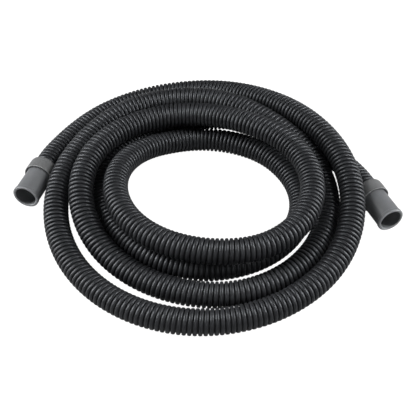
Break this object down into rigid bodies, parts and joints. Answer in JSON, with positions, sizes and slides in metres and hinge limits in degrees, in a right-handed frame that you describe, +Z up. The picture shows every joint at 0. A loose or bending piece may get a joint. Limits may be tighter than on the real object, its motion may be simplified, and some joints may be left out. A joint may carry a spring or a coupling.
{
  "type": "vacuum hose",
  "caption": "Coiled corrugated vacuum hose for a pool or spa, with a swivel cuff on each end that pushes over a round fitting.",
  "frame": {"origin": "centre of the coiled hose's bounding box, on the floor it lies on", "axes": "+Z up; +X from the cuff at the left of the coil to the cuff at its right; +Y away from the side the cuffs' mouths face"},
  "size_m": [0.6908, 0.5927, 0.1018],
  "materials": {
    "hose_black": "satin",
    "collar_grey": "satin",
    "cuff_grey": "satin",
    "washer_white": "matte",
    "seal_rubber": "matte"
  },
  "bodies": {
    "hose_body": {"hose": "hose_black", "collar_a": "collar_grey", "thrust_washer_a": "washer_white", "slip_ring_a": "washer_white", "seal_ring_a": "seal_rubber", "collar_b": "collar_grey", "thrust_washer_b": "washer_white", "slip_ring_b": "washer_white", "seal_ring_b": "seal_rubber"},
    "cuff_a_body": {"cuff_a": "cuff_grey"},
    "cuff_b_body": {"cuff_b": "cuff_grey"}
  },
  "joints": [
    {"name": "cuff_a_swivel", "type": "hinge", "parent": "hose_body", "child": "cuff_a_body", "pos_m": [-0.30595, 0.03799, 0.02844], "axis": [-0.2753, -0.9599, 0.0523], "continuous": true},
    {"name": "cuff_b_swivel", "type": "hinge", "parent": "hose_body", "child": "cuff_b_body", "pos_m": [0.30009, -0.01846, 0.02844], "axis": [0.3579, -0.9323, 0.0523], "continuous": true}
  ]
}
